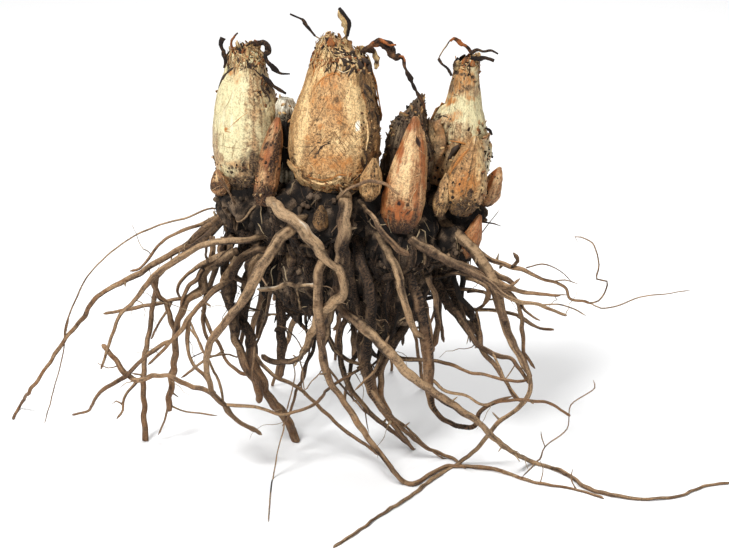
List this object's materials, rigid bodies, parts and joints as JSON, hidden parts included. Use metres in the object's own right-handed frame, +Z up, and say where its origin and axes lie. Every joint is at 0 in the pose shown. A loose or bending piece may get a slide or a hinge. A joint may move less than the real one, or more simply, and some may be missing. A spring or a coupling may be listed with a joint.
{
  "type": "tuberose bulb",
  "caption": "Lifted clump of tuberose bulbs with small offsets, torn dry leaf stumps and a crown of long spreading roots.",
  "frame": {"origin": "on the floor under the middle of the whole clump, roots included", "axes": "+X to the right along the row of bulbs, +Z up, front towards -Y"},
  "size_m": [0.2888, 0.184, 0.1818],
  "materials": {
    "bulb_cream": "smooth cream scale with brown papery skin above",
    "bulb_tan": "dry tan tunic with fibres",
    "offset_russet": "satin skin, orange brown",
    "old_scale": "dull, shrivelled and fibrous",
    "old_pale": "dull grey papery scale",
    "dry_leaf": "dry and torn",
    "root_brown": "dull, furrowed, with soil in the folds"
  },
  "bodies": {
    "root": {"bulb_middle": "bulb_tan", "bulb_left": "bulb_cream", "bulb_right": "bulb_cream", "dry_leaves_middle": "dry_leaf", "dry_leaves_left": "dry_leaf", "dry_leaves_right": "dry_leaf", "offset_front": "offset_russet", "offset_slim": "offset_russet", "offset_right": "bulb_tan", "offset_sliver": "bulb_tan", "offset_edge": "offset_russet", "offset_low": "offset_russet", "offset_notch": "bulb_tan", "offset_bud": "bulb_tan", "offset_corner": "offset_russet", "offset_back_left": "bulb_tan", "offset_back_right": "offset_russet", "offset_back_bud": "bulb_tan", "old_bulb_dark": "old_scale", "old_bulb_pale": "old_pale", "crown_with_roots": "root_brown"}
  },
  "joints": []
}
